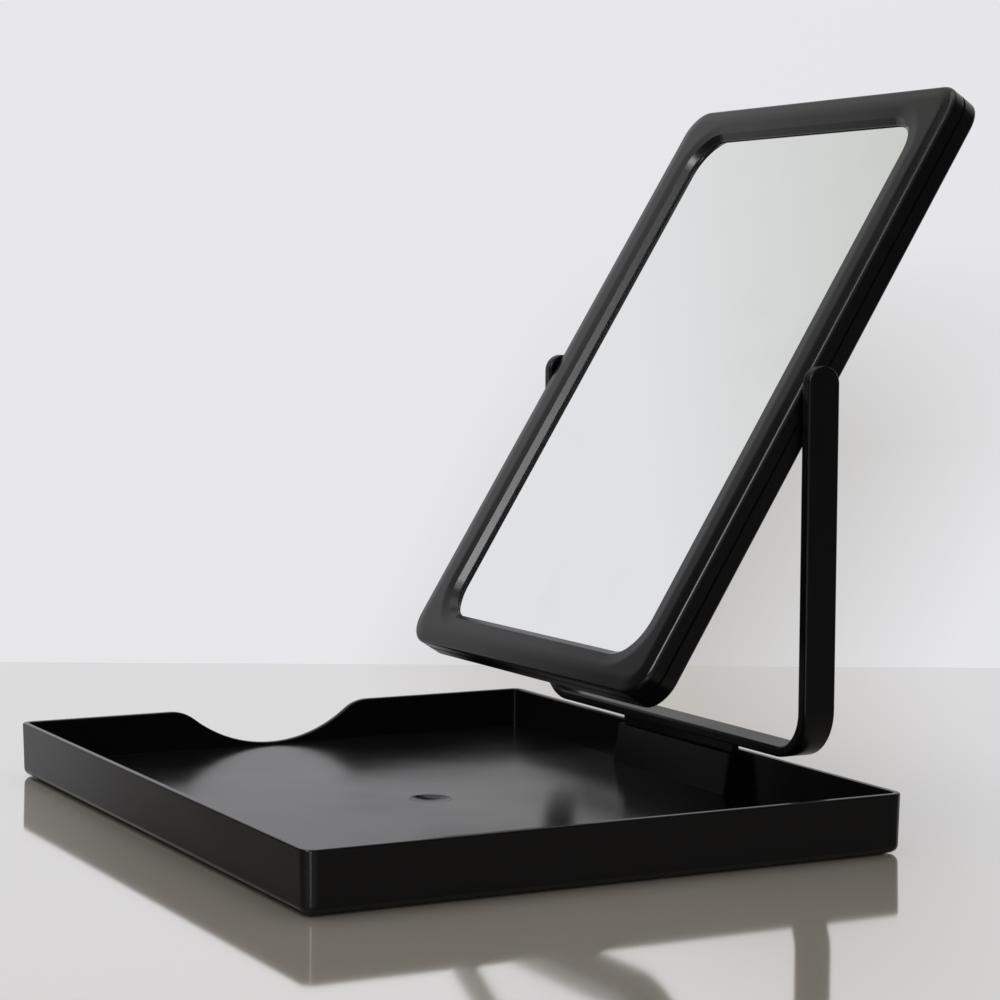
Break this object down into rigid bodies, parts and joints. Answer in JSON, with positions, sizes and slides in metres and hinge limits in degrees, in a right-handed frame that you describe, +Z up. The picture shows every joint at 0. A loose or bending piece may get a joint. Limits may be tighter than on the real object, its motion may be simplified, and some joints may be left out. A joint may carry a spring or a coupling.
{
  "type": "vanity mirror",
  "caption": "Table mirror: portrait mirror in a rounded frame turns in a U-shaped stand, which plugs into the rear wall of a shallow open tray with a thumb notch.",
  "frame": {"origin": "middle of the tray's footprint on the plane it rests on", "axes": "+X across the mirror to the right as seen from the front, +Y to the rear wall that carries the stand, +Z up"},
  "size_m": [0.2404, 0.2486, 0.2287],
  "materials": {
    "satin_plastic": "satin",
    "pad_rubber": "matte",
    "spring_steel": "polished",
    "screw_steel": "black oxide",
    "bush_brass": "turned",
    "washer_nylon": "matte",
    "silvered_glass": "polished"
  },
  "bodies": {
    "base": {"tray": "satin_plastic", "base_pad": "pad_rubber", "stand_socket": "satin_plastic", "socket_spring": "spring_steel", "socket_screws": "screw_steel"},
    "stand": {"stand": "satin_plastic"},
    "mirror": {"rear_shell": "satin_plastic", "front_bezel": "satin_plastic", "mirror_glass": "silvered_glass", "glass_gasket": "pad_rubber", "backing_pad": "pad_rubber", "shell_screws": "screw_steel", "pivot_pin_left": "spring_steel", "pivot_pin_right": "spring_steel", "pivot_bush_left": "bush_brass", "pivot_bush_right": "bush_brass", "friction_washer_left": "washer_nylon", "friction_washer_right": "washer_nylon"}
  },
  "joints": [
    {"name": "stand_lift", "type": "slide", "parent": "base", "child": "stand", "axis": [0, 0, 1], "range_m": [0, 0.012]},
    {"name": "mirror_tilt", "type": "hinge", "parent": "stand", "child": "mirror", "pos_m": [0, 0.09095, 0.1346], "axis": [1, 0, 0], "continuous": true}
  ]
}
